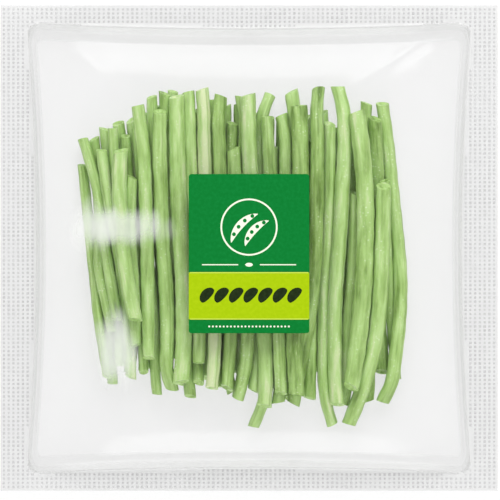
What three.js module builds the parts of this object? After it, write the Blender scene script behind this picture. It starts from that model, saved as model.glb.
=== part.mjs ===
// A sealed clear pouch of trimmed fine green beans, lying flat on its back. Millimetres, +Z up.
// The origin is under the middle of the pouch, on the surface that it lies on. +X runs across the pouch,
// and the beans lie along Y, with their stalk ends, called tips here, towards +Y.
// Every bean is a pod of its own. Two sheets of film welded along their rims hold the bundle together,
// and a printed label is stuck on the upper sheet.
import * as THREE from "three";

// The pouch
const POUCH_WIDTH = 209;
const POUCH_LENGTH = 204;
const FILM = 0.6; // the sheets are drawn thicker than real film, so that they are sound solids
const GAP = 0.3; // clearance between any two pieces that touch
const WELD_HEIGHT = 5; // the welded rim stands this far off the surface
const RIM_SIDE = 15; // width of the weld half way up the left and right sides
const RIM_END = 9.5; // width of the weld half way along the top and bottom
const PINCH_SIDE = 5; // the full pouch draws its weld line in by this much between the corners
const PINCH_END = 3;
const FILM_CLEARANCE = 1.2; // the upper sheet clears the highest bean by this much
const LIE_FLAT = 1.4; // the lower sheet lies flat wherever the pouch is fuller than 1 / LIE_FLAT
const SHEET_GRID = 24; // squares along each side of a sheet
const WINDOW_SHARE = 11 / 12; // the part of that grid that lies inside the weld line
const WINDOW_CROWDING = 1.2;
const LABEL = { width: 50, length: 66, y: -2.3, thickness: 0.6 };

// The beans
const POD_SIDES = 8;
const POD_STEPS = 12;
const POD_FLATNESS = 0.9; // thickness of a pod against its width: it lies on its flatter side
const POD_TAPER = 0.16; // how much a pod thins towards each cut end
const CUT_SLANT = [-0.35, 0.35]; // the slope of a cut end across the pod
const POD_CLEARANCE = 0.5;
const SLICE = 5; // the pods are kept clear of each other on slices this far apart along Y
const SLICES = 35;
const SETTLE_PASSES = 1400; // rounds of letting the pods sink and pushing them apart
const LEVELS = { bottom: 4, middle: 9.5, top: 14.5, uppermost: 19 }; // where the settling starts
const SINK = 0.12; // how far a pod sinks in the first rounds; it fades to nothing
const PULL = 0.03; // how strongly a pod of the top layers is drawn back to its drawn place

const COLOURS = { pod: 0x9fc46c, film: 0xf1f3f1, label: 0x0d8a3c };

// The pods of the top layer, left to right: where the tip and the foot lie, how far the middle bows
// towards +X, how much more it bows near the foot than near the tip, and how wide the pod is.
const TOP_LAYER = [
  { tip: [-70.1, 34.9], foot: [-59.2, -53.8], bow: 0.0, sway: 0.0, width: 4.6 },
  { tip: [-68.5, 45.8], foot: [-55.4, -29.8], bow: 3.0, sway: -0.8, width: 4.8 },
  { tip: [-53.4, 40.7], foot: [-47.2, -29.8], bow: -2.6, sway: 0.0, width: 6.2 },
  { tip: [-48.0, 29.6], foot: [-45.4, -40.7], bow: -2.0, sway: 0.6, width: 4.8 },
  { tip: [-46.6, 59.6], foot: [-45.8, -45.8], bow: 3.4, sway: -0.6, width: 5.4 },
  { tip: [-37.1, 56.9], foot: [-31.9, -59.0], bow: -1.6, sway: 1.2, width: 6.3 },
  { tip: [-30.3, 63.4], foot: [-29.0, -55.9], bow: 1.3, sway: 1.0, width: 6.6 },
  { tip: [-25.4, 65.5], foot: [-17.3, -47.9], bow: 0.0, sway: 0.0, width: 5.6 },
  { tip: [-20.4, 66.6], foot: [-14.3, -58.4], bow: 2.5, sway: 0.3, width: 5.9 },
  { tip: [-11.8, 63.8], foot: [-10.9, -58.4], bow: 1.6, sway: 1.8, width: 6.0 },
  { tip: [-0.4, 64.0], foot: [6.3, -65.9], bow: 0.8, sway: 1.4, width: 6.7 },
  { tip: [-4.6, 41.6], foot: [-3.8, -63.0], bow: 0.6, sway: 2.4, width: 5.8 },
  { tip: [7.1, 55.0], foot: [11.8, -60.5], bow: 0.6, sway: 0.0, width: 5.7 },
  { tip: [13.7, 55.6], foot: [14.3, -64.7], bow: 0.8, sway: 0.4, width: 5.3 },
  { tip: [20.8, 59.6], foot: [19.7, -61.3], bow: 0.5, sway: -0.5, width: 6.8 },
  { tip: [29.1, 66.8], foot: [17.2, -65.3], bow: 4.8, sway: 1.2, width: 6.1 },
  { tip: [43.1, 23.1], foot: [40.1, -65.1], bow: 0.4, sway: -0.6, width: 5.0 },
  { tip: [44.0, 57.1], foot: [42.4, -58.0], bow: 5.5, sway: -0.4, width: 6.9 },
  { tip: [37.4, 67.8], foot: [37.4, -65.5], bow: -0.8, sway: -2.1, width: 6.2 },
  { tip: [55.4, 60.7], foot: [52.9, -64.7], bow: 6.0, sway: 1.3, width: 5.4 },
  { tip: [56.3, 25.8], foot: [39.9, -73.9], bow: 5.8, sway: 1.4, width: 6.3 },
];

// The pods of the middle layer, which show between and beyond those on top
const MIDDLE_LAYER = [
  { tip: [-59.8, 45.9], foot: [-55.0, -35.0], bow: 0.5, sway: 0.0, width: 4.4 },
  { tip: [-59.4, 41.0], foot: [-50.4, -54.2], bow: 1.5, sway: 0.6, width: 5.0 },
  { tip: [-54.4, 50.2], foot: [-57.5, -57.1], bow: 0.0, sway: 0.0, width: 4.6 },
  { tip: [-51.7, 47.0], foot: [-40.7, -52.0], bow: 0.0, sway: 0.4, width: 4.5 },
  { tip: [-49.4, 50.1], foot: [-38.6, -61.5], bow: 0.3, sway: 0.0, width: 4.9 },
  { tip: [-40.1, 63.4], foot: [-36.1, -45.8], bow: 0.8, sway: 0.0, width: 5.1 },
  { tip: [-34.4, 64.9], foot: [-29.2, -62.2], bow: 0.0, sway: 0.5, width: 4.8 },
  { tip: [-30.1, 65.9], foot: [-20.4, -56.3], bow: 1.0, sway: 0.0, width: 4.8 },
  { tip: [-16.0, 62.2], foot: [-18.0, -58.0], bow: 0.6, sway: 0.0, width: 4.8 },
  { tip: [-5.5, 52.3], foot: [-7.6, -60.5], bow: 0.4, sway: 0.0, width: 4.9 },
  { tip: [-3.6, 63.6], foot: [-2.5, -57.5], bow: -0.8, sway: 0.0, width: 5.1 },
  { tip: [6.9, 64.3], foot: [2.1, -60.0], bow: 0.5, sway: 0.0, width: 5.5 },
  { tip: [15.0, 42.0], foot: [1.9, -75.2], bow: 6.2, sway: 2.8, width: 5.1 },
  { tip: [17.6, 65.7], foot: [15.5, -63.0], bow: 0.7, sway: 0.0, width: 5.9 },
  { tip: [33.3, 44.5], foot: [25.3, -63.0], bow: 1.0, sway: 0.0, width: 5.3 },
  { tip: [34.0, 52.0], foot: [36.8, -73.9], bow: -4.6, sway: -2.8, width: 5.2 },
  { tip: [52.4, 28.2], foot: [52.5, -54.6], bow: 0.6, sway: 0.0, width: 4.4 },
  { tip: [47.0, 40.0], foot: [48.3, -64.3], bow: 1.2, sway: 0.0, width: 5.0 },
];

// The pods of the bottom layer lie side by side on the lower sheet and hardly show, so they follow a rule
const BOTTOM_COUNT = 18;
const BOTTOM_TIP_X = [-60, 53];
const BOTTOM_FOOT_X = [-53, 49];
const BOTTOM_TIP_Y = [50, 62];
const BOTTOM_FOOT_Y = [-60, -48];
const BOTTOM_WIDTH = [5.0, 5.7];
const SEED = 7;

// A small repeatable random number generator: each call gives the next number from 0 to 1
function randomFrom(seed) {
  let state = seed;
  return () => {
    state = (state * 16807) % 2147483647;
    return state / 2147483647;
  };
}

const random = randomFrom(SEED);
const between = ([low, high]) => low + (high - low) * random();
const share = ([low, high], t) => low + (high - low) * t;

function bottomLayer() {
  return Array.from({ length: BOTTOM_COUNT }, (_, i) => {
    const across = i / (BOTTOM_COUNT - 1);
    return {
      tip: [share(BOTTOM_TIP_X, across), between(BOTTOM_TIP_Y)],
      foot: [share(BOTTOM_FOOT_X, across), between(BOTTOM_FOOT_Y)],
      bow: 1.5 * across,
      sway: 0,
      width: between(BOTTOM_WIDTH),
    };
  });
}

// Where a pod's middle line runs in plan, t going from 0 at the tip to 1 at the foot
function planX(pod, t) {
  const bend = pod.bow * 4 * t * (1 - t) - pod.sway * Math.sin(2 * Math.PI * t);
  return share([pod.tip[0], pod.foot[0]], t) + bend;
}

// Half the pod's width at t: full along most of it, a little thinner at the cut ends
function halfWidth(pod, t) {
  return (pod.width / 2) * (1 - POD_TAPER * Math.abs(2 * t - 1) ** 3);
}

const sliceY = (s) => SLICE * ((SLICES - 1) / 2 - s);

// Cuts a pod into slices: each holds how far it has strayed from its drawn place, and its height
function slicePod(pod) {
  const first = Math.floor((sliceY(0) - pod.tip[1]) / SLICE);
  const last = Math.ceil((sliceY(0) - pod.foot[1]) / SLICE);
  const slices = Array.from({ length: last - first + 1 }, (_, i) => {
    const t = (pod.tip[1] - sliceY(first + i)) / (pod.tip[1] - pod.foot[1]);
    return { x: planX(pod, t), stray: 0, z: pod.level };
  });
  const lean = Math.hypot(1, (pod.tip[0] - pod.foot[0]) / (pod.tip[1] - pod.foot[1]));
  return { ...pod, first, slices, reach: (pod.width / 2) * lean };
}

// Evens out one value along a pod, as a stiff pod does, leaving it free to lie at a slant
function straighten(slices, key, strength) {
  const old = slices.map((slice) => slice[key]);
  const end = old.length - 1;
  slices.forEach((slice, i) => {
    let straight = (old[i - 1] + old[i + 1]) / 2;
    if (i === 0) straight = 2 * old[1] - old[2];
    if (i === end) straight = 2 * old[end - 1] - old[end - 2];
    slice[key] += strength * (straight - old[i]);
  });
}

// Pushes two pods apart wherever they come too close on a slice
function pushApart(a, b) {
  const reach = a.reach + b.reach + POD_CLEARANCE;
  const from = Math.max(a.first, b.first);
  const to = Math.min(a.first + a.slices.length, b.first + b.slices.length);
  for (let s = from; s < to; s++) {
    const p = a.slices[s - a.first];
    const q = b.slices[s - b.first];
    const dx = q.x + q.stray - p.x - p.stray;
    const dz = q.z - p.z;
    const distance = Math.hypot(dx, dz);
    if (distance < reach) {
      const push = (reach - distance) / (2 * distance);
      p.stray -= push * dx;
      q.stray += push * dx;
      p.z -= push * dz;
      q.z += push * dz;
    }
  }
}

// Lets the pile settle on the lower sheet: the pods sink, stay fairly straight and push each other apart
function settle(pods) {
  const pile = pods.map(slicePod);
  for (let pass = 0; pass < SETTLE_PASSES; pass++) {
    const left = 1 - pass / SETTLE_PASSES;
    const sink = SINK * Math.max(0, left - 0.4);
    const strength = 0.5 * Math.min(1, 2 * left + 0.04);
    for (const pod of pile) {
      for (const slice of pod.slices) {
        slice.z -= sink;
        slice.stray *= 1 - PULL * left * (pod.level / LEVELS.uppermost) ** 2;
      }
      straighten(pod.slices, "z", strength);
      straighten(pod.slices, "stray", strength);
    }
    pile.forEach((a, i) => pile.slice(i + 1).forEach((b) => pushApart(a, b)));
    for (const pod of pile) {
      for (const slice of pod.slices) {
        slice.z = Math.max(slice.z, FILM + GAP + pod.width / 2);
      }
    }
  }
  return pile.map((pod) => {
    const points = pod.slices.map((slice, i) => {
      return new THREE.Vector3(slice.x + slice.stray, sliceY(pod.first + i), slice.z);
    });
    return { ...pod, rest: trimmed(points, pod.tip[1], pod.foot[1]) };
  });
}

// The line through the slices, with its ends moved in to the pod's own ends
function trimmed(points, tipY, footY) {
  const last = points.length - 1;
  const onto = (from, to, y) => from.clone().lerp(to, (y - from.y) / (to.y - from.y));
  const tip = onto(points[0], points[1], tipY);
  const foot = onto(points[last], points[last - 1], footY);
  return [tip, ...points.slice(1, last), foot];
}

// One pod: a cylinder whose rings are moved onto the pod's resting line, with both ends cut at a slant
function podGeometry(pod, slants) {
  const geometry = new THREE.CylinderGeometry(1, 1, 1, POD_SIDES, POD_STEPS);
  const line = new THREE.CatmullRomCurve3(pod.rest);
  const position = geometry.attributes.position;
  for (let i = 0; i < position.count; i++) {
    const t = 0.5 - position.getY(i);
    const centre = line.getPointAt(t);
    const forward = line.getTangentAt(t);
    const side = new THREE.Vector3(-forward.y, forward.x, 0).normalize();
    const up = new THREE.Vector3().crossVectors(forward, side);
    const radius = halfWidth(pod, t);
    const across = radius * position.getX(i);
    const over = radius * POD_FLATNESS * position.getZ(i);
    const slant = t < 0.01 ? slants[0] : t > 0.99 ? slants[1] : 0;
    centre.addScaledVector(side, across).addScaledVector(up, over).addScaledVector(forward, slant * across);
    position.setXYZ(i, centre.x, centre.y, centre.z);
  }
  return geometry;
}

// Half the window's width at y, and half its length at x: the weld line is drawn in between the corners
function windowHalfWidth(y) {
  return POUCH_WIDTH / 2 - RIM_SIDE + PINCH_SIDE * (y / (POUCH_LENGTH / 2)) ** 2;
}
function windowHalfLength(x) {
  return POUCH_LENGTH / 2 - RIM_END + PINCH_END * (x / (POUCH_WIDTH / 2)) ** 2;
}

// How far the pouch has swollen at a plan point: 1 over the middle, 0 on the welded rim
function fullness(x, y) {
  const u = Math.min(1, Math.abs(x) / windowHalfWidth(y));
  const v = Math.min(1, Math.abs(y) / windowHalfLength(x));
  return ((1 - u ** 4) * (1 - v ** 4)) ** 0.6;
}

// Both sheets of the pouch share this grid: one line of it follows the weld line, and it is finer near there
function pouchPoint(u, v) {
  const crowd = (w) => Math.sin(WINDOW_CROWDING * w) / Math.sin(WINDOW_CROWDING);
  const onto = (w, window, edge) => {
    const inside = Math.min(1, Math.abs(w) / WINDOW_SHARE);
    const beyond = Math.max(0, Math.abs(w) - WINDOW_SHARE) / (1 - WINDOW_SHARE);
    return Math.sign(w) * (window * crowd(inside) + (edge - window) * beyond);
  };
  let [x, y] = [0, 0];
  for (let round = 0; round < 4; round++) {
    x = onto(u, windowHalfWidth(y), POUCH_WIDTH / 2);
    y = onto(v, windowHalfLength(x), POUCH_LENGTH / 2);
  }
  return [x, y];
}

// A sheet draped over a height, its grid laid out by a rule that takes -1 to 1 both ways
function drapedSheet(thickness, columns, rows, pointAt, heightAt) {
  const geometry = new THREE.BoxGeometry(2, 2, thickness, columns, rows, 1);
  const position = geometry.attributes.position;
  for (let i = 0; i < position.count; i++) {
    const [x, y] = pointAt(position.getX(i), position.getY(i));
    position.setXYZ(i, x, y, heightAt(x, y) + position.getZ(i));
  }
  return geometry;
}

function finish(geometry, name, colour, roughness, opacity = 1) {
  geometry.computeVertexNormals();
  const material = new THREE.MeshStandardMaterial({
    color: colour,
    roughness,
    metalness: 0,
    opacity,
    transparent: opacity < 1,
  });
  const mesh = new THREE.Mesh(geometry, material);
  mesh.name = name;
  return mesh;
}

const bundle = new THREE.Group();

const topLevel = (pod) => (pod.width > 6 ? LEVELS.uppermost : LEVELS.top);
const placed = settle([
  ...bottomLayer().map((pod) => ({ ...pod, level: LEVELS.bottom })),
  ...MIDDLE_LAYER.map((pod) => ({ ...pod, level: LEVELS.middle })),
  ...TOP_LAYER.map((pod) => ({ ...pod, level: topLevel(pod) })),
]);
placed.forEach((pod, i) => {
  const name = "bean_" + String(i + 1).padStart(2, "0");
  const slants = [between(CUT_SLANT), between(CUT_SLANT)];
  bundle.add(finish(podGeometry(pod, slants), name, COLOURS.pod, 0.5));
});

// The upper sheet swells just enough to clear every bean
const upperWeld = WELD_HEIGHT + FILM + GAP;
const crown = Math.max(
  ...placed.flatMap((pod) =>
    pod.rest.map((p) => (p.z + pod.width / 2 + FILM_CLEARANCE - upperWeld) / fullness(p.x, p.y)),
  ),
);
const upperHeight = (x, y) => upperWeld + crown * fullness(x, y);
const lift = (x, y) => 1 - Math.min(1, LIE_FLAT * fullness(x, y));
const lowerHeight = (x, y) => FILM / 2 + (WELD_HEIGHT - FILM / 2) * lift(x, y);
const labelHeight = (x, y) => upperHeight(x, y) + (FILM + LABEL.thickness) / 2 + GAP;

const labelPoint = (u, v) => [(LABEL.width / 2) * u, LABEL.y + (LABEL.length / 2) * v];
const lower = drapedSheet(FILM, SHEET_GRID, SHEET_GRID, pouchPoint, lowerHeight);
const upper = drapedSheet(FILM, SHEET_GRID, SHEET_GRID, pouchPoint, upperHeight);
const label = drapedSheet(LABEL.thickness, 6, 8, labelPoint, labelHeight);
bundle.add(finish(lower, "pouch_lower_film", COLOURS.film, 0.15, 0.25));
bundle.add(finish(upper, "pouch_upper_film", COLOURS.film, 0.15, 0.25));
bundle.add(finish(label, "label", COLOURS.label, 0.4));

export default bundle;
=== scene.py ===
# %% [markdown]
# # A pouch of trimmed fine green beans
# A grocer's pack: a bundle of fine green beans, both ends of each bean cut off, lies side by side in a
# clear film pouch. The pouch is two sheets of film welded together round the rim, and a printed label
# sits on top. The CAD model is loaded first. It is the frame: it says how large everything is and where
# it lies, and each piece made here takes the place of one of its nodes.

import math
import random

import bpy
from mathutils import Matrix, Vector


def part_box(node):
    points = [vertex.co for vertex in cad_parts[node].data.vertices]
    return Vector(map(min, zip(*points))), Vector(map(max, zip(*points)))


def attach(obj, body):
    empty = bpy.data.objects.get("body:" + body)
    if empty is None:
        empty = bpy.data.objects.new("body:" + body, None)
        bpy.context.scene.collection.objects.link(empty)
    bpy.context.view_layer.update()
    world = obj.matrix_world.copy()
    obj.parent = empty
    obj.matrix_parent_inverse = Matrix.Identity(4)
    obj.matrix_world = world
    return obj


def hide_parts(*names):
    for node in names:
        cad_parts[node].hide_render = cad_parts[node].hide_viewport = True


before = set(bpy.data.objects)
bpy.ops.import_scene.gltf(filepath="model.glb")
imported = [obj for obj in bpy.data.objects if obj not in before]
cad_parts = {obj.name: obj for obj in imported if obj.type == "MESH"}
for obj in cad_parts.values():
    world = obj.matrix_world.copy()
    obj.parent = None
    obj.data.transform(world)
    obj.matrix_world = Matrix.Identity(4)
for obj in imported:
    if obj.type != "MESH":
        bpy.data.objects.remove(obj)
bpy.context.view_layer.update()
MM = 0.001  # Blender works in metres, and sizes are given here in millimetres
scene = bpy.context.scene
scene.view_settings.view_transform = "Standard"
BEANS = sorted(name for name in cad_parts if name.startswith("bean_"))
print("beans in the frame:", len(BEANS))

# %% [markdown]
# A few small helpers serve every piece. An operator acts on whatever is selected, so everything is let go
# before a new shape is started. Colours are written as the hex values that a paint program shows, which
# are sRGB, and shaders want linear light. One function adds a node to a material, with its settings and
# with its inputs, which may be plain values or links from other nodes. The others write the nodes that
# come up most: a map from one range to another, a sum or a product, a mix of two colours, and a grain
# turned into two tones. Two more dress a piece in its materials and give a thin sheet its thickness.


# %% Helpers
def let_go():
    if bpy.context.object and bpy.context.object.mode != "OBJECT":
        bpy.ops.object.mode_set(mode="OBJECT")
    bpy.ops.object.select_all(action="DESELECT")


def make_active(piece):
    let_go()
    piece.select_set(True)
    bpy.context.view_layer.objects.active = piece


def colour(code):
    channels = [int(code[i : i + 2], 16) / 255 for i in (1, 3, 5)]
    return (*[c / 12.92 if c <= 0.04045 else ((c + 0.055) / 1.055) ** 2.4 for c in channels], 1)


def add_node(tree, kind, inputs=None, **settings):
    node = tree.nodes.new(kind)
    for name, value in settings.items():
        setattr(node, name, value)
    for name, value in (inputs or {}).items():
        if isinstance(value, bpy.types.NodeSocket):
            tree.links.new(value, node.inputs[name])
        else:
            node.inputs[name].default_value = value
    return node


def dress(piece, *materials):
    for material in materials:
        piece.data.materials.append(material)


def thicken(piece, thickness):
    """Give a sheet its thickness in mm, half of it to each side"""
    make_active(piece)
    modifier = piece.modifiers.new("thickness", "SOLIDIFY")
    modifier.thickness = thickness * MM
    modifier.offset = 0
    bpy.ops.object.modifier_apply(modifier=modifier.name)


def new_material(name):
    material = bpy.data.materials.new(name)
    material.use_nodes = True
    material.node_tree.nodes.clear()
    return material, material.node_tree


def map_range(tree, value, span, to=(0, 1), **settings):
    inputs = {"Value": value, "From Min": span[0], "From Max": span[1], "To Min": to[0], "To Max": to[1]}
    return add_node(tree, "ShaderNodeMapRange", inputs, **settings).outputs[0]


def maths(tree, operation, first, second, **settings):
    inputs = {0: first, 1: second}
    return add_node(tree, "ShaderNodeMath", inputs, operation=operation, **settings).outputs[0]


def mix_colour(tree, factor, first, second):
    inputs = {"Factor": factor, 6: first, 7: second}
    return add_node(tree, "ShaderNodeMix", inputs, data_type="RGBA").outputs[2]


def noise(tree, place, scale, detail):
    inputs = {"Vector": place, "Scale": scale, "Detail": detail}
    return add_node(tree, "ShaderNodeTexNoise", inputs).outputs[0]


def two_tones(tree, grain, *tones):
    """Turn a grain into colour: each tone is a place on the ramp and a hex value"""
    ramp = add_node(tree, "ShaderNodeValToRGB", {"Fac": grain})
    for element, (position, code) in zip(ramp.color_ramp.elements, tones):
        element.position = position
        element.color = colour(code)
    return ramp.outputs[0]


# %% [markdown]
# ## Camera, floor and light
# The pack is seen from straight above, with almost no perspective, so a long lens looks down from high
# up. The frame of 500 pixels takes in 210 mm, which is a hair more than the pouch.

# %% Camera
VIEW_WIDTH = 210 * MM
VIEW_CENTRE = Vector((0.4 * MM, -0.8 * MM, 6 * MM))
CAMERA_HEIGHT = 1.6
SENSOR = 36  # mm
bpy.ops.object.camera_add(location=VIEW_CENTRE + Vector((0, 0, CAMERA_HEIGHT)), rotation=(0, 0, 0))
camera = bpy.context.object
camera.data.sensor_width = SENSOR
camera.data.lens = SENSOR * CAMERA_HEIGHT / VIEW_WIDTH
scene.camera = camera
print("lens:", round(camera.data.lens), "mm")

# %% [markdown]
# The floor is a light table: a sheet of white acrylic with light coming up through it, which
# photographers use under clear goods, so that the shadows in and round them stay pale.

# %% Floor
FLOOR_SIZE = 6
FLOOR_GLOW = 0.75
let_go()
bpy.ops.mesh.primitive_plane_add(size=FLOOR_SIZE, location=(0, 0, 0))
floor = bpy.context.object
floor.name = "floor"
acrylic, tree = new_material("opal white acrylic, lit from below")
shader = add_node(tree, "ShaderNodeBsdfPrincipled", {"Base Color": colour("#8E8E8E"), "Roughness": 0.9})
shader.inputs["Specular IOR Level"].default_value = 0.1
shader.inputs["Emission Color"].default_value = (1, 1, 1, 1)
shader.inputs["Emission Strength"].default_value = FLOOR_GLOW
add_node(tree, "ShaderNodeOutputMaterial", {"Surface": shader.outputs[0]})
floor.data.materials.append(acrylic)

# %% [markdown]
# The light is a bright even room with two softboxes, a long one beyond the top edge of the pouch and a
# square one beyond the bottom edge. Both stand low, so that the flat film doesn't mirror them, and only
# its swollen shoulders catch them as soft pale arcs.


# %% Light
def softbox(name, place, size, power):
    let_go()
    bpy.ops.object.light_add(type="AREA", location=place)
    light = bpy.context.object
    light.name = name
    light.data.shape = "RECTANGLE"
    light.data.size, light.data.size_y = size
    light.data.energy = power
    light.rotation_euler = (-Vector(place)).to_track_quat("-Z", "Y").to_euler()
    return light


ROOM_LIGHT = 0.72
softbox("softbox_key", (0.12, 1.04, 0.88), (1.0, 0.62), 12.5)
softbox("softbox_fill", (0.05, -1.12, 0.65), (0.55, 0.55), 5.4)
world = bpy.data.worlds.new("bright room")
world.use_nodes = True
world.node_tree.nodes["Background"].inputs["Color"].default_value = (1, 1, 1, 1)
world.node_tree.nodes["Background"].inputs["Strength"].default_value = ROOM_LIGHT
scene.world = world

# %% [markdown]
# ## The beans
# A fine green bean is a long pod, about 6 mm thick. It is slightly oval, with a seam along both narrow
# sides, it swells a little over each seed, and both its ends are cut off. Sculpting each of them would
# take far too long, so a few straight pods are drawn out of a disc, ring by ring, as a glass blower pulls
# a cane: the end face is extruded a step and scaled to the width that the pod has there. Each bean is
# then a copy of one of them.

# %% One straight pod
POD_RING = 24  # corners round the pod
POD_STEP = 2.4  # mm between rings
SEED_PITCH = 9.5  # mm between seeds
POD_TAPER = 0.08  # a pod thins by this much towards its cut ends
SEED_SWELL = 0.03  # how far a seed swells the pod, as a share of its radius
DRIFTS = ((0.018, 11, 1), (0.012, 4.3, 2))  # slow changes of width: how much, how long, and its phase


def pod_swell(x, length, phase):
    """How wide the pod is at x, against its full radius of 1"""
    taper = 1 - POD_TAPER * abs(2 * x / length - 1) ** 3
    seeds = SEED_SWELL * math.cos(2 * math.pi * (x + phase) / SEED_PITCH)
    drift = sum(amount * math.sin(x / span + times * phase) for amount, span, times in DRIFTS)
    return taper + seeds + drift


def straight_pod(name, length, phase):
    """A pod along X, in units of its radius across and in mm along"""
    let_go()
    bpy.ops.mesh.primitive_circle_add(
        vertices=POD_RING,
        radius=pod_swell(0, length, phase),
        fill_type="NGON",
        location=(0, 0, 0),
        rotation=(0, math.pi / 2, 0),
    )
    pod = bpy.context.object
    pod.name = name
    bpy.ops.object.transform_apply(location=True, rotation=True, scale=True)
    bpy.ops.object.mode_set(mode="EDIT")
    bpy.ops.mesh.select_all(action="SELECT")
    steps = round(length / POD_STEP)
    before = pod_swell(0, length, phase)
    for i in range(1, steps + 1):
        bpy.ops.mesh.extrude_region_move(TRANSFORM_OT_translate={"value": (length / steps, 0, 0)})
        here = pod_swell(length * i / steps, length, phase)
        bpy.ops.transform.resize(value=(1, here / before, here / before))
        before = here
    bpy.ops.mesh.select_all(action="SELECT")
    bpy.ops.mesh.normals_make_consistent(inside=False)
    bpy.ops.object.mode_set(mode="OBJECT")
    return pod


# %% [markdown]
# A cut bean shows its wall and a shallow hollow where the seeds sit. So both end faces are inset by the
# thickness of the wall and pushed in a little, and those faces get the colour of the cut flesh.


# %% Cut ends
SKIN_EDGE = 0.06  # width of the skin and of the wall that show at a cut end, as shares of the radius
CUT_WALL = 0.3
HOLLOW_DEPTH = 0.5  # mm
HOLLOW_FLOOR = 0.7  # how far the hollow narrows towards its floor
AT_END = 0.1  # mm from the end within which a face is the end face
FACES_END = 0.9  # least share of its normal that points along the pod


def hollow_end(pod, x, inwards):
    make_active(pod)
    for polygon in pod.data.polygons:
        flat = abs(polygon.normal.x) > FACES_END and len(polygon.vertices) == POD_RING
        polygon.select = flat and abs(polygon.center.x - x) < AT_END
    bpy.ops.object.mode_set(mode="EDIT")
    bpy.ops.mesh.select_mode(type="FACE")
    bpy.ops.mesh.inset(thickness=SKIN_EDGE, depth=0)
    bpy.ops.mesh.inset(thickness=CUT_WALL, depth=0)
    bpy.ops.mesh.extrude_region_move(TRANSFORM_OT_translate={"value": (inwards * HOLLOW_DEPTH, 0, 0)})
    bpy.ops.transform.resize(value=(1, HOLLOW_FLOOR, HOLLOW_FLOOR))
    bpy.ops.object.mode_set(mode="OBJECT")


def select_nothing(pod):
    for part in (pod.data.vertices, pod.data.edges, pod.data.polygons):
        part.foreach_set("select", [False] * len(part))


# %% [markdown]
# Five lengths are enough, so that the seeds stay about as far apart on a short bean as on a long one. The
# ring is squeezed to an oval last, and its two narrow sides are drawn out into the seams.

# %% The five pods
POD_LENGTHS = [70, 84, 98, 112, 126]  # mm
POD_OVAL = 0.9  # height against width
SEAM = 0.035  # how far the seams stand out, as a share of the radius
SEAM_FROM = 0.9  # cosine of the angle from which the skin rises to the seam
FLUTES = 0.03  # depth of the shallow hollows that run along a pod, as a share of its radius
FLUTE_COUNT = 3
FLUTE_TWIST = 0.04  # radians a mm
END_REACH = 0.8  # mm from an end that may hold cut faces
FLESH_FACING = 0.7  # a face there is flesh if its normal points along the pod by more than this
FLESH_RADIUS = 0.66  # or if it lies within this share of the radius
models = []
for i, length in enumerate(POD_LENGTHS):
    pod = straight_pod(f"model_pod_{i}", length, phase=1.7 * i)
    for x, inwards in ((0, 1), (length, -1)):
        select_nothing(pod)
        hollow_end(pod, x, inwards)
    seam_line = pod.data.attributes.new("seam_line", "FLOAT", "POINT")
    for vertex in pod.data.vertices:
        around = math.atan2(vertex.co.z, vertex.co.y)
        seam = max(0, abs(math.cos(around)) - SEAM_FROM) / (1 - SEAM_FROM)
        seam_line.data[vertex.index].value = seam
        flute = 1 + FLUTES * math.cos(FLUTE_COUNT * around + FLUTE_TWIST * vertex.co.x + i)
        vertex.co.y *= (1 + SEAM * seam) * flute
        vertex.co.z *= POD_OVAL * flute
    for polygon in pod.data.polygons:
        reach = max(Vector(pod.data.vertices[v].co.yz).length for v in polygon.vertices)
        at_end = min(polygon.center.x, length - polygon.center.x) < END_REACH
        is_flesh = at_end and (abs(polygon.normal.x) > FLESH_FACING or reach < FLESH_RADIUS)
        polygon.material_index = 1 if is_flesh else 0
    models.append(pod)
print("straight pods:", len(models), "with", len(models[-1].data.polygons), "faces on the longest")

# %% [markdown]
# ### Bean skin
# The skin of a raw bean is a smooth, slightly waxy green with a fine down, so it shines softly. Up close
# it is streaked along the pod, a mottle of paler and deeper green, and some beans are paler than others.
# The streaks have to follow each bean round its bends, so they read a place that each corner keeps from
# when the pod was straight. Here and there it is dotted with small pale specks, and the seam shows as a
# thin darker line.

# %% Bean skin material
STREAKS = (0.05, 0.62, 0.62)  # how often each pattern changes, in changes a mm along and across the pod
MOTTLE = (0.07, 0.3, 0.3)
DOWN = (0.5, 2.4, 2.4)
DOTS = (0.75, 0.6, 0.6)


def on_pod(tree, place, often):
    return add_node(tree, "ShaderNodeMapping", {"Vector": place, "Scale": often}).outputs[0]


bean_skin, tree = new_material("raw bean pod skin")
place = add_node(tree, "ShaderNodeAttribute", attribute_name="straight_place").outputs["Vector"]
tone = add_node(tree, "ShaderNodeAttribute", attribute_name="tone").outputs["Fac"]
streaks = noise(tree, on_pod(tree, place, STREAKS), 1, detail=4)
mottle = noise(tree, on_pod(tree, place, MOTTLE), 1, detail=3)
down = noise(tree, on_pod(tree, place, DOWN), 1, detail=3)
blend = maths(tree, "ADD", maths(tree, "ADD", streaks, mottle), tone)
greens = add_node(tree, "ShaderNodeValToRGB", {"Fac": map_range(tree, blend, (0.59, 1.43))})
ramp = greens.color_ramp
ramp.elements[0].color = colour("#678739")
ramp.elements[1].color = colour("#D6E3B0")
for position, code in ((0.28, "#96B766"), (0.5, "#ABCD7B"), (0.72, "#BBDA8F")):
    ramp.elements.new(position).color = colour(code)
specks = map_range(tree, down, (0.6, 0.72), (0, 0.3))
skin_colour = mix_colour(tree, specks, greens.outputs[0], colour("#DDEBBE"))
cells = add_node(tree, "ShaderNodeTexVoronoi", {"Vector": on_pod(tree, place, DOTS), "Scale": 1})
dots = map_range(tree, cells.outputs["Distance"], (0.12, 0.26), (1, 0))
where = map_range(tree, mottle, (0.47, 0.6), (0, 0.6))
skin_colour = mix_colour(tree, maths(tree, "MULTIPLY", dots, where), skin_colour, colour("#EAF3D4"))
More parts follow.
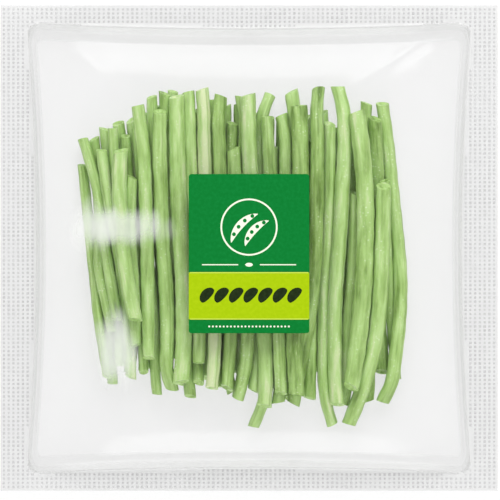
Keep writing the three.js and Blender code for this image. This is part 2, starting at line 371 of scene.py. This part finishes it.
seam = add_node(tree, "ShaderNodeAttribute", attribute_name="seam_line").outputs["Fac"]
seam = map_range(tree, seam, (0.72, 1), (0, 0.55))
skin_colour = mix_colour(tree, seam, skin_colour, colour("#7C9E45"))
relief = maths(tree, "ADD", down, streaks)
bump = add_node(tree, "ShaderNodeBump", {"Height": relief, "Strength": 0.6, "Distance": 0.35 * MM})
skin = add_node(
    tree,
    "ShaderNodeBsdfPrincipled",
    {"Base Color": skin_colour, "Roughness": 0.38, "IOR": 1.45, "Normal": bump.outputs[0]},
)
skin.inputs["Specular IOR Level"].default_value = 0.4
skin.inputs["Subsurface Weight"].default_value = 0.12
skin.inputs["Subsurface Radius"].default_value = (0.6, 1.0, 0.3)
skin.inputs["Subsurface Scale"].default_value = 1.2 * MM
add_node(tree, "ShaderNodeOutputMaterial", {"Surface": skin.outputs[0]})

# %% [markdown]
# The cut end is moist flesh: paler than the skin, a little uneven, and yellowish where it has begun to
# dry.

# %% Cut flesh material
cut_flesh, tree = new_material("cut bean flesh")
place = add_node(tree, "ShaderNodeTexCoord").outputs["Object"]
grain = noise(tree, place, 900, detail=2)
flesh = two_tones(tree, grain, (0.35, "#A9BE62"), (0.68, "#E0E7A8"))
bump = add_node(tree, "ShaderNodeBump", {"Height": grain, "Strength": 0.5, "Distance": 0.2 * MM})
cut = add_node(
    tree,
    "ShaderNodeBsdfPrincipled",
    {"Base Color": flesh, "Roughness": 0.5, "IOR": 1.4, "Normal": bump.outputs[0]},
)
add_node(tree, "ShaderNodeOutputMaterial", {"Surface": cut.outputs[0]})

# %% [markdown]
# ### Laying the beans
# Each bean lies along the middle line of its solid in the frame. That solid is a stack of rings, so its
# corners are sorted along Y and gathered ring by ring, and the middle of each ring is a point of the
# line.


# %% Read a bean's middle line
RING_APART = 2.5  # mm along Y: corners nearer than this belong to one ring


def middle_line(node):
    corners = sorted({tuple(round(c, 6) for c in v.co) for v in node.data.vertices}, key=lambda c: -c[1])
    rings = [[corners[0]]]
    for corner in corners[1:]:
        if rings[-1][-1][1] - corner[1] > RING_APART * MM:
            rings.append([])
        rings[-1].append(corner)
    centres = []
    for ring in rings:
        lows = [min(c[k] for c in ring) for k in range(3)]
        highs = [max(c[k] for c in ring) for k in range(3)]
        centres.append(Vector([(low + high) / 2 for low, high in zip(lows, highs)]))
    middle = rings[len(rings) // 2]
    width = max(c[0] for c in middle) - min(c[0] for c in middle)
    return centres, width


# %% [markdown]
# The copy is turned about its own axis, so that the seams don't all point one way, its ends are cut at a
# slant that lets some of the cut flesh show from above, and every corner notes its place before a Curve
# modifier bends the pod along the middle line.


# %% Make one bean
CUT_REACH = 5.5  # mm over which the rings turn into the slant of the cut
SLANT = 0.45  # most that a cut leans to the left or right
UNDERCUT = 0.5  # most that it leans back, so that it faces up a little
SKIN_MARGIN = 0.2  # mm by which a bean is thicker than its solid, all round
PATTERN_WIDTH = 3  # the pattern on the skin takes the radius as this many mm
BEND_STEPS = 12


def bean_from(name, centres, width, shade, rng):
    """Copy the straight pod that is nearest in length, and lay it along the centres"""
    length = sum((b - a).length for a, b in zip(centres, centres[1:]))
    model = min(models, key=lambda m: abs(m.dimensions.x - length / MM))
    bean = bpy.data.objects.new(name + "_pod", model.data.copy())
    scene.collection.objects.link(bean)
    turn = rng.uniform(0, 2 * math.pi)
    slants = [rng.uniform(-SLANT, SLANT), rng.uniform(-SLANT, SLANT)]
    undercuts = [rng.uniform(0, UNDERCUT), rng.uniform(-UNDERCUT, 0)]
    full = model.dimensions.x
    tone = bean.data.attributes.new("tone", "FLOAT", "POINT")
    tone.data.foreach_set("value", [shade] * len(bean.data.vertices))
    kept = bean.data.attributes.new("straight_place", "FLOAT_VECTOR", "POINT")
    offset = Vector((rng.uniform(0, 500), rng.uniform(0, 50), 0))
    radius = width / 2 + SKIN_MARGIN * MM
    flip = rng.random() < 0.5
    for vertex in bean.data.vertices:
        x, y, z = vertex.co
        y, z = y * math.cos(turn) - z * math.sin(turn), y * math.sin(turn) + z * math.cos(turn)
        if min(x, full - x) < CUT_REACH:
            end = 0 if x < CUT_REACH else 1
            shift = slants[end] * y + undercuts[end] * z
            x += shift * radius / MM * (1 - min(x, full - x) / CUT_REACH)
        kept.data[vertex.index].vector = Vector((vertex.co.x, *(vertex.co.yz * PATTERN_WIDTH))) + offset
        if flip:
            x, y = full - x, -y
        vertex.co = (x / full * length, y * radius, z * radius)
    bend(bean, centres)
    return bean


def bend(bean, centres):
    line = bpy.data.curves.new(bean.name + "_line", "CURVE")
    line.dimensions = "3D"
    line.twist_mode = "Z_UP"
    line.resolution_u = BEND_STEPS
    spline = line.splines.new("BEZIER")
    spline.bezier_points.add(len(centres) - 1)
    for point, centre in zip(spline.bezier_points, centres):
        point.co = centre
        point.handle_left_type = point.handle_right_type = "AUTO"
    guide = bpy.data.objects.new(bean.name + "_line", line)
    scene.collection.objects.link(guide)
    make_active(bean)
    modifier = bean.modifiers.new("bend", "CURVE")
    modifier.object = guide
    modifier.deform_axis = "POS_X"
    bpy.ops.object.modifier_apply(modifier=modifier.name)
    bpy.data.objects.remove(guide)
    bpy.data.curves.remove(line)


# %% [markdown]
# The beans differ a little in how pale they are, and one near the top left of the label is much paler
# than the rest. Every draw comes from a seeded generator, so that the same pack comes out each time.

# %% Lay all the beans
PALE_TIP = Vector((-18.9, 66.4, 19)) * MM
PALE = 0.36  # added to the pattern that picks the green
SHADES = 0.17
rng = random.Random(11)
lines = {name: middle_line(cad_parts[name]) for name in BEANS}
pale = min(BEANS, key=lambda name: (lines[name][0][0] - PALE_TIP).length)
beans = {}
for name in BEANS:
    shade = rng.uniform(-SHADES, SHADES)
    bean = bean_from(name, *lines[name], PALE if name == pale else shade, rng)
    bean.data.materials.clear()
    dress(bean, bean_skin, cut_flesh)
    make_active(bean)
    bpy.ops.object.shade_smooth_by_angle(angle=math.radians(50))
    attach(bean, "root")
    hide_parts(name)
    beans[name] = bean
for model in models:
    bpy.data.objects.remove(model)
faces = sum(len(bean.data.polygons) for bean in beans.values())
print("beans laid:", len(beans), "with the pale one", pale, "and", faces, "faces")

# %% [markdown]
# ## The pouch
# The pouch is two sheets of clear film, welded together round the rim. The weld line runs straight
# between its rounded corners, except that the swollen pouch draws it in a little half way. No edit tool
# gives such an even swell, so each sheet starts as a fine grid, and a rule lays out its points: lines of
# the grid follow the weld line, and inside it the sheet rises to just under the crown of the frame's own
# sheet.

# %% The form of the pouch
POUCH_WIDTH = 209
POUCH_LENGTH = 204
WELD_HEIGHT = 5.45
TABLE_GAP = 0.02  # between the table and the lower sheet
RIM_SIDE = 15  # width of the rim half way along the sides
RIM_END = 9.5  # and half way along the top and the bottom
PINCH_SIDE = 5  # the rim is this much narrower at the corners
PINCH_END = 3
CORNER = 6  # radius of the corners of the weld line
SHOULDER = 4  # the film leaves the weld within this distance
FLATNESS = 4  # the larger, the flatter the crown and the steeper the shoulders
ROUNDING = 0.6
LIE_FLAT = 1.4  # the larger, the sooner the lower sheet lies flat
SHADE_BAND_SIDE = 4  # width of the band of painted shade along the sides
SHADE_BAND_END = 7  # and along the top and the bottom
FILM = 0.12  # thickness of a sheet
WELD_GAP = 0.15  # between the middles of the two sheets
CREASE_ROOM = 0.3  # mm kept free under the top of the frame's sheet
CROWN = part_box("pouch_upper_film")[1].z / MM - CREASE_ROOM - WELD_HEIGHT


def window_half_width(y):
    return POUCH_WIDTH / 2 - RIM_SIDE + PINCH_SIDE * (y / (POUCH_LENGTH / 2)) ** 2


def window_half_length(x):
    return POUCH_LENGTH / 2 - RIM_END + PINCH_END * (x / (POUCH_WIDTH / 2)) ** 2


def depth_inside(to_side, to_end, corner):
    """How far inside a window with rounded corners a place is"""
    if to_side < corner and to_end < corner:
        return corner - math.hypot(corner - to_side, corner - to_end)
    return min(to_side, to_end)


def inset(x, y):
    """How far inside the weld line a place is, in mm, and below nought out on the rim"""
    return depth_inside(window_half_width(y) - abs(x), window_half_length(x) - abs(y), CORNER)


def shade_band_share(x, y):
    """The same, as a share of the width of the band of painted shade beside the weld"""
    to_side = (window_half_width(y) - abs(x)) / SHADE_BAND_SIDE
    to_end = (window_half_length(x) - abs(y)) / SHADE_BAND_END
    return depth_inside(to_side, to_end, CORNER / SHADE_BAND_SIDE)


def fullness(x, y):
    """How far the pouch is blown up at a place, from 0 at the weld to 1 in the middle"""
    u = min(1, abs(x) / window_half_width(y))
    v = min(1, abs(y) / window_half_length(x))
    leaving = min(1, max(0, inset(x, y)) / SHOULDER) ** 0.5
    return leaving * ((1 - u**FLATNESS) * (1 - v**FLATNESS)) ** ROUNDING


print("crown of the pouch:", round(CROWN, 1), "mm over the weld")

# %% [markdown]
# Film doesn't swell without creases. A soft pleat runs all round, along the inner edge of the band of
# painted shade, the weld puckers the film next to it, and a few folds run in from the corners, where the
# film pulls.

# %% Pleats, puckers and folds
PLEAT_WIDTH = 0.22  # as a share of the band of painted shade
PLEAT_HEIGHT = 0.4
PUCKER = 0.28  # height of the puckers, which fade out over PUCKER_REACH from the weld
PUCKER_REACH = 8
PUCKER_PITCH = (2.9, 3.3)
PUCKER_WANDER = (13, 11)
FOLDS = [  # middle x and y, slant in degrees, half length, half width and height
    (59, 78, 35, 21, 1.8, 0.5),
    (-68, 77, -40, 15, 2.4, 0.25),
    (70, -74, -40, 16, 2.4, 0.3),
    (-68, -77, 42, 15, 2.4, 0.3),
]


def creases(x, y):
    depth = max(0, inset(x, y))
    rise = PLEAT_HEIGHT * math.exp(-(((shade_band_share(x, y) - 1) / PLEAT_WIDTH) ** 2))
    wave_x = math.sin(x / PUCKER_PITCH[0] + 2 * math.sin(y / PUCKER_WANDER[1]))
    wave_y = math.sin(y / PUCKER_PITCH[1] + 2 * math.sin(x / PUCKER_WANDER[0]))
    rise += PUCKER * wave_x * wave_y * min(1, depth / 2) * math.exp(-depth / PUCKER_REACH)
    for middle_x, middle_y, slant, half_length, half_width, height in FOLDS:
        along = math.radians(slant)
        forward = (x - middle_x) * math.cos(along) + (y - middle_y) * math.sin(along)
        across = (y - middle_y) * math.cos(along) - (x - middle_x) * math.sin(along)
        fade = math.exp(-((forward / half_length) ** 2) - (across / half_width) ** 2)
        rise += height * fade * min(1, depth / SHOULDER)
    return rise


def upper_height(x, y):
    return WELD_HEIGHT + CROWN * fullness(x, y) + creases(x, y)


def lower_height(x, y):
    resting = FILM / 2 + TABLE_GAP
    return resting + (WELD_HEIGHT - WELD_GAP - resting) * (1 - min(1, LIE_FLAT * fullness(x, y)))


# %% [markdown]
# A point of the grid is sent to its place between the middle and the rim. The window takes up most of the
# grid, and its lines crowd together towards the weld, where the film bends most. Window and place depend
# on each other a little, so the place is worked out in a few rounds.

# %% Lay out a sheet
SHEET_GRID = 150
WINDOW_SHARE = 11 / 12
WINDOW_CROWDING = 1.3
ROUNDS = 4


def pouch_point(u, v):
    """Where the grid's point at u and v, each from -1 to 1, lies on the pouch"""

    def onto(w, window, edge):
        inside = math.sin(WINDOW_CROWDING * min(1, abs(w) / WINDOW_SHARE)) / math.sin(WINDOW_CROWDING)
        beyond = max(0, abs(w) - WINDOW_SHARE) / (1 - WINDOW_SHARE)
        return math.copysign(window * inside + (edge - window) * beyond, w)

    x = y = 0
    for _ in range(ROUNDS):
        x = onto(u, window_half_width(y), POUCH_WIDTH / 2)
        y = onto(v, window_half_length(x), POUCH_LENGTH / 2)
    return x, y


def film_sheet(name, height_at):
    let_go()
    bpy.ops.mesh.primitive_grid_add(x_subdivisions=SHEET_GRID, y_subdivisions=SHEET_GRID, size=2)
    sheet = bpy.context.object
    sheet.name = name
    # Each point notes where it lies in the band of painted shade, for the film's shaders.
    in_shade_band = sheet.data.attributes.new("shade_band_share", "FLOAT", "POINT")
    for vertex in sheet.data.vertices:
        x, y = pouch_point(vertex.co.x, vertex.co.y)
        vertex.co = (x * MM, y * MM, height_at(x, y) * MM)
        in_shade_band.data[vertex.index].value = shade_band_share(x, y)
    thicken(sheet, FILM)
    bpy.ops.object.shade_smooth_by_angle(angle=math.radians(60))
    for polygon in sheet.data.polygons:
        x, y = polygon.center.x / MM, polygon.center.y / MM
        polygon.material_index = 1 if inset(x, y) < 0 else 0
    return sheet


upper = film_sheet("upper_film", upper_height)
lower = film_sheet("lower_film", lower_height)
print("faces in a sheet:", len(upper.data.polygons))

# %% [markdown]
# The jaws that weld the rim are knurled, and press a grid of small marks into the film. Each is a low
# four-sided boss, about 1 mm wide, and they stand 2 mm apart across the pouch and 1.7 mm along it. One is
# made, and copies of its mesh are set wherever the rim is clear of the weld line. They are of the film's
# own stuff, so they are joined to the upper sheet.

# %% Knurled rim
MARK_PITCH = (2.0, 1.73)
MARK_SIZE = 1.05
MARK_HEIGHT = 0.2
MARK_TOP = 0.55  # its top against its foot
MARK_SIZES = (0.8, 1.1)  # least and most, since the jaws don't press evenly
MARK_CLEAR = 0.8  # distance of the nearest mark from the weld line


def mark_places():
    columns = int(POUCH_WIDTH / MARK_PITCH[0]) - 1
    rows = int(POUCH_LENGTH / MARK_PITCH[1]) - 1
    for i in range(columns + 1):
        for j in range(rows + 1):
            x = (i - columns / 2) * MARK_PITCH[0]
            y = (j - rows / 2) * MARK_PITCH[1]
            if inset(x, y) < -MARK_CLEAR:
                yield x, y


def one_mark():
    let_go()
    bpy.ops.mesh.primitive_cube_add(size=1, location=(0, 0, 0))
    mark = bpy.context.object
    select_nothing(mark)
    for polygon in mark.data.polygons:
        polygon.select = polygon.normal.z > 0.9
    bpy.ops.object.mode_set(mode="EDIT")
    bpy.ops.transform.resize(value=(MARK_TOP, MARK_TOP, 1))
    bpy.ops.object.mode_set(mode="OBJECT")
    return mark


def knurl_from(mark):
    corners = [v.co.copy() for v in mark.data.vertices]
    faces = [tuple(p.vertices) for p in mark.data.polygons]
    points, polygons = [], []
    for x, y in mark_places():
        start = len(points)
        size = MARK_SIZE * rng.uniform(*MARK_SIZES)
        for corner in corners:
            rise = FILM / 2 + MARK_HEIGHT if corner.z > 0 else 0
            points.append(Vector((x + corner.x * size, y + corner.y * size, WELD_HEIGHT + rise)) * MM)
        polygons += [tuple(start + k for k in face) for face in faces]
    mesh = bpy.data.meshes.new("knurl")
    mesh.from_pydata(points, [], polygons)
    knurl = bpy.data.objects.new("knurl", mesh)
    scene.collection.objects.link(knurl)
    bpy.data.objects.remove(mark)
    return knurl


knurl = knurl_from(one_mark())
print("marks in the rim:", len(knurl.data.polygons) // 6)

# %% [markdown]
# ### Clear film
# The film is cast polypropylene. It is clear, but a sheet still mirrors a little of the light, and more
# where it is seen edge on, which draws the grey band where the pouch swells up from its weld. That band
# is also painted: a veil in steps, grey on the lower sheet, 4 to 7 mm wide beside the weld and darkest in
# a fine line at the weld, is painted shade for the steep film there. Pale patches streaked along the
# beans are painted glare, light mirrored by the film, and the jaws crush and whiten the film in the rim.
# So all the film's shaders are mostly transparent, with a thin pale veil that thickens towards grazing
# angles, and a soft gloss over it. They differ in how milky they are. A Fresnel node isn't used here: a
# transparent shader doesn't bend the light, so at the far face of the sheet that node would see slanting
# light as trapped inside, and the pouch would turn dark. The angle alone does better.


# %% Film materials
VEIL_GRAIN = 55  # changes a metre
GLARE_GRAIN = 110
GLARE_STRETCH = (1.6, 0.35, 0)  # the streaks are long along the beans
GLARE_EDGE = (0.85, 1.65)  # where a patch starts to fade and where it is gone
GRAZING = (0.42, 0.95)  # turned away this far, the film starts to look milky and is milky
GRAZING_VEIL = 0.13
SHADE_BAND_SOFTNESS = 0.05
GLOSS = 0.75
GLOSS_ROUGHNESS = 0.13
MIRROR = (0.008, 0.4)  # how much the film mirrors head on and edge on
MIRROR_POWER = 4


def painted_glare_patch(tree, place, centre, size, strength):
    """A patch of painted glare in the veil, with its centre and its half size in mm, streaked along the
    beans
    """
    scale = [1 / (s * MM) for s in size]
    shift = [-c * MM * s for c, s in zip(centre, scale)]
    inputs = {"Vector": place, "Location": (*shift, 0), "Scale": (*scale, 0)}
    local = add_node(tree, "ShaderNodeMapping", inputs).outputs[0]
    along = add_node(tree, "ShaderNodeMapping", {"Vector": place, "Scale": GLARE_STRETCH}).outputs[0]
    wobble = noise(tree, along, GLARE_GRAIN, detail=2)
    reach = add_node(tree, "ShaderNodeVectorMath", {0: local}, operation="LENGTH").outputs["Value"]
    reach = maths(tree, "ADD", reach, wobble)
    return map_range(tree, reach, GLARE_EDGE, (strength, 0), interpolation_type="SMOOTHSTEP")


def film_material(name, milk_code, thin, thick, band_shade=0.0, glares=()):
    """Film whose veil runs from thin to thick, with a band of painted shade by the weld and patches of
    painted glare
    """
    material, tree = new_material(name)
    place = add_node(tree, "ShaderNodeTexCoord").outputs["Object"]
    veil = map_range(tree, noise(tree, place, VEIL_GRAIN, detail=2), (0.3, 0.7), (thin, thick))
    facing = add_node(tree, "ShaderNodeLayerWeight", {"Blend": 0.5}).outputs["Facing"]
    in_shade_band = add_node(tree, "ShaderNodeAttribute", attribute_name="shade_band_share").outputs["Fac"]
    parts = [map_range(tree, facing, GRAZING, (0, GRAZING_VEIL))]
    # Painted shade: a veil in steps beside the weld stands for the shade of the steeply rising film.
    for reach, times in PAINTED_SHADE_STEPS:
        edge = (reach - SHADE_BAND_SOFTNESS, reach + SHADE_BAND_SOFTNESS)
        parts.append(map_range(tree, in_shade_band, edge, (band_shade * times, 0)))
    # Painted glare: pale patches over the beans stand for light mirrored by the film.
    parts += [painted_glare_patch(tree, place, *glare_patch) for glare_patch in glares]
    for part in parts:
        veil = maths(tree, "ADD", veil, part, use_clamp=True)
    clear = add_node(tree, "ShaderNodeBsdfTransparent", {"Color": colour("#FCFCFC")}).outputs[0]
    milk = add_node(tree, "ShaderNodeBsdfPrincipled", {"Base Color": colour(milk_code), "Roughness": 0.4})
    body = add_node(tree, "ShaderNodeMixShader", {0: veil, 1: clear, 2: milk.outputs[0]}).outputs[0]
    inputs = {"Color": (GLOSS, GLOSS, GLOSS, 1), "Roughness": GLOSS_ROUGHNESS}
    gloss = add_node(tree, "ShaderNodeBsdfGlossy", inputs).outputs[0]
    mirror = map_range(tree, maths(tree, "POWER", facing, MIRROR_POWER), (0, 1), MIRROR)
    surface = add_node(tree, "ShaderNodeMixShader", {0: mirror, 1: body, 2: gloss}).outputs[0]
    add_node(tree, "ShaderNodeOutputMaterial", {"Surface": surface})
    return material


# How far each step of the band of painted shade reaches, and how much painted shade it adds: the last is a
# fine dark line painted at the weld.
PAINTED_SHADE_STEPS = [(1, 1), (0.4, 1), (0.08, 3)]
# The middle, the half size and the strength of each patch of painted glare.
PAINTED_GLARE = [((-51, 8.7), (21, 8), 0.32), ((-65, 9.2), (11, 11), 0.22), ((-55, -42), (9, 17), 0.44)]
# The lower sheet's milk is grey, so that its steps of painted shade show grey through the upper sheet.
clear_film = film_material("clear cast polypropylene film", "#BCBCBC", 0.0, 0.006, 0.065)
# The upper sheet carries the patches of painted glare.
upper_clear_film = film_material("clear film that clings in patches", "#F4F5F3", 0.0, 0.006, 0.03, PAINTED_GLARE)
welded_film = film_material("heat-sealed film, whitened by the jaws", "#EFEFEF", 0.33, 0.44)
# The marks' milk is greyer than the rim's: painted shade of the little bosses, besides the real shade of
# their relief.
pressed_marks = film_material("knurl marks in the heat seal", "#E2E2E2", 0.08, 0.42)

# %% [markdown]
# The sheets take their materials: the first slot is the window and the second the rim. The marks join the
# upper sheet, and both sheets take the place of the frame's.

# %% Fit the pouch to the frame
dress(upper, upper_clear_film, welded_film)
dress(lower, clear_film, welded_film)
dress(knurl, pressed_marks)
make_active(upper)
knurl.select_set(True)
bpy.ops.object.join()
for sheet, node in ((upper, "pouch_upper_film"), (lower, "pouch_lower_film")):
    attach(sheet, "root")
    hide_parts(node)

# %% [markdown]
# ## The label
# The label is a rectangle of coated paper, 50 by 66 mm, that lies on the crown of the pouch and bends
# with it. It is cut from a grid, its corners are rounded with a bevel, and it is laid on the film by the
# same rule. Its ground is deep green, with one yellow-green band.

# %% Label shape
LABEL_WIDTH = 50
LABEL_LENGTH = 66
LABEL_Y = -2.3
LABEL_CORNER = 1.1
LABEL_LIFT = 0.4  # from the middle of the film to the middle of the paper
LABEL_THICKNESS = 0.25
LABEL_GRID = (25, 33)  # squares across and along


def label_height(x, y):
    return WELD_HEIGHT + CROWN * fullness(x, y) + LABEL_LIFT


let_go()
bpy.ops.mesh.primitive_grid_add(x_subdivisions=LABEL_GRID[0], y_subdivisions=LABEL_GRID[1], size=1)
label = bpy.context.object
label.name = "pouch_label"
label.scale = (LABEL_WIDTH * MM, LABEL_LENGTH * MM, 1)
bpy.ops.object.transform_apply(location=False, rotation=False, scale=True)
select_nothing(label)
for vertex in label.data.vertices:
    reach = abs(vertex.co.x) / (LABEL_WIDTH * MM) + abs(vertex.co.y) / (LABEL_LENGTH * MM)
    vertex.select = reach > 0.999  # only the four corners reach 1
bpy.ops.object.mode_set(mode="EDIT")
bpy.ops.mesh.select_mode(type="VERT")
bpy.ops.mesh.bevel(offset=LABEL_CORNER * MM, segments=4, affect="VERTICES")
bpy.ops.object.mode_set(mode="OBJECT")
for vertex in label.data.vertices:
    y = vertex.co.y / MM + LABEL_Y
    vertex.co.z = label_height(vertex.co.x / MM, y) * MM
    vertex.co.y = y * MM
thicken(label, LABEL_THICKNESS)
bpy.ops.object.shade_smooth_by_angle(angle=math.radians(40))
print("faces in the label:", len(label.data.polygons))

# %% [markdown]
# The print is made as thin layers of ink, so that it stays sharp at any size. Every mark is a strip that
# follows a line and has a width at each point of it: a stripe, a pod, a seed or a dot. A ring with two
# pods in it stands over a thin rule, a row of seeds fills the band, and a dotted line closes the foot.

# %% Ink on the label
INK = 0.05  # mm from one layer of ink to the next
INK_THICKNESS = 0.02
RING = 11.5  # radius of the ring
RULE_Y = -4.6
STRIP = 3.2  # the yellow-green band is laid in strips this wide, so that each lies close on the bent paper
BAND_Y = -9.5  # the middle of its first strip
ink_points, ink_faces, ink_slots = [], [], []


def ink(line, widths, slot, layer=1):
    """A strip of ink along a line, in mm from the middle of the label"""
    start = len(ink_points)
    for i, (x, y) in enumerate(line):
        before, after = Vector(line[max(i - 1, 0)]), Vector(line[min(i + 1, len(line) - 1)])
        across = (after - before).orthogonal().normalized() * widths[i] / 2
        for side in (1, -1):
            px, py = x + side * across.x, y + side * across.y + LABEL_Y
            height = label_height(px, py) + LABEL_THICKNESS / 2 + INK * layer
            ink_points.append((px * MM, py * MM, height * MM))
    for i in range(len(line) - 1):
        k = start + 2 * i
        ink_faces.append((k, k + 1, k + 3, k + 2))
        ink_slots.append(slot)


def arc(start, angle, length, curl, steps=14):
    """Points of a line that sets out at an angle and turns by curl on its way, both in degrees"""
    x, y = start
    line = [(x, y)]
    for i in range(steps):
        heading = math.radians(angle + curl * (i + 0.5) / steps)
        x += math.cos(heading) * length / steps
        y += math.sin(heading) * length / steps
        line.append((x, y))
    return line


def rounded(width, steps=14):
    return [width * max(0.02, 1 - (2 * i / steps - 1) ** 2) ** 0.5 for i in range(steps + 1)]


def pointed(width, steps=14):
    return [width * max(0.02, math.sin(math.pi * i / steps)) ** 0.7 for i in range(steps + 1)]


CREAM, DARK, YELLOW, LIME = 1, 2, 3, 4  # the slots of the inks, after the green of the paper
for row in range(6):
    y = BAND_Y - STRIP * row
    ink([(-25 + 2.5 * i, y) for i in range(21)], [STRIP] * 21, LIME)
ink(arc((RING, 11), 90, 2 * math.pi * RING, 360, 60), [0.7] * 61, CREAM)
for x, y, length in ((-7.4, 4.6, 17), (-1.6, 3.2, 15)):
    pod_line = arc((x, y), 78, length, -62)
    ink(pod_line, pointed(3.2), CREAM)
    for step in range(3, 13, 3):
        seed = arc((pod_line[step][0] - 0.8, pod_line[step][1]), 0, 1.6, 0, 6)
        ink(seed, rounded(1.6, 6), 0, 2)
for x in (-19.5, 4.5):
    ink([(x, RULE_Y), (x + 15, RULE_Y)], [0.45, 0.45], CREAM)
ink(arc((-1.6, RULE_Y), 0, 3.2, 0, 6), rounded(1.6, 6), CREAM)
for i in range(7):
    ink(arc((-19.3 + 6.05 * i, -20.3), 84, 7.6, -75), rounded(4.1), DARK, 2)
for y in (-7.9, -27.1):
    ink([(-24.6 + 2.46 * i, y) for i in range(21)], [0.5] * 21, YELLOW, 2)
for i in range(23):
    ink(arc((-16.9 + 1.5 * i, -30.2), 0, 0.8, 0, 6), rounded(0.8, 6), CREAM)

# %% [markdown]
# The strips become one mesh with a little thickness, and that is joined to the paper.

# %% Label finish
mesh = bpy.data.meshes.new("ink")
mesh.from_pydata(ink_points, [], ink_faces)
mesh.polygons.foreach_set("material_index", ink_slots)
artwork = bpy.data.objects.new("ink", mesh)
scene.collection.objects.link(artwork)


def ink_material(name, code, worn_code):
    """Printed ink: one colour with a faint unevenness, on slightly glossy coated paper"""
    material, tree = new_material(name)
    place = add_node(tree, "ShaderNodeTexCoord").outputs["Object"]
    mottle = two_tones(tree, noise(tree, place, 700, detail=3), (0.4, code), (0.75, worn_code))
    shader = add_node(tree, "ShaderNodeBsdfPrincipled", {"Base Color": mottle, "Roughness": 0.5})
    shader.inputs["Specular IOR Level"].default_value = 0.06
    add_node(tree, "ShaderNodeOutputMaterial", {"Surface": shader.outputs[0]})
    return material


green_ink = ink_material("coated label paper, printed green", "#04742C", "#0B7C34")
lime_ink = ink_material("coated label paper, printed yellow-green", "#9FBE04", "#A8C50C")
cream_ink = ink_material("cream ink", "#EDF3DF", "#E3EBD0")
dark_ink = ink_material("near-black green ink", "#1B2810", "#26351A")
yellow_ink = ink_material("pale yellow-green ink", "#C6DB4E", "#BED244")
dress(label, green_ink)
dress(artwork, green_ink, cream_ink, dark_ink, yellow_ink, lime_ink)
thicken(artwork, INK_THICKNESS)
make_active(label)
artwork.select_set(True)
bpy.ops.object.join()
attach(label, "root")
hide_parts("label")
print("label materials:", [m.name for m in label.data.materials])

# %% [markdown]
# ## Finish

# %% Finish
let_go()
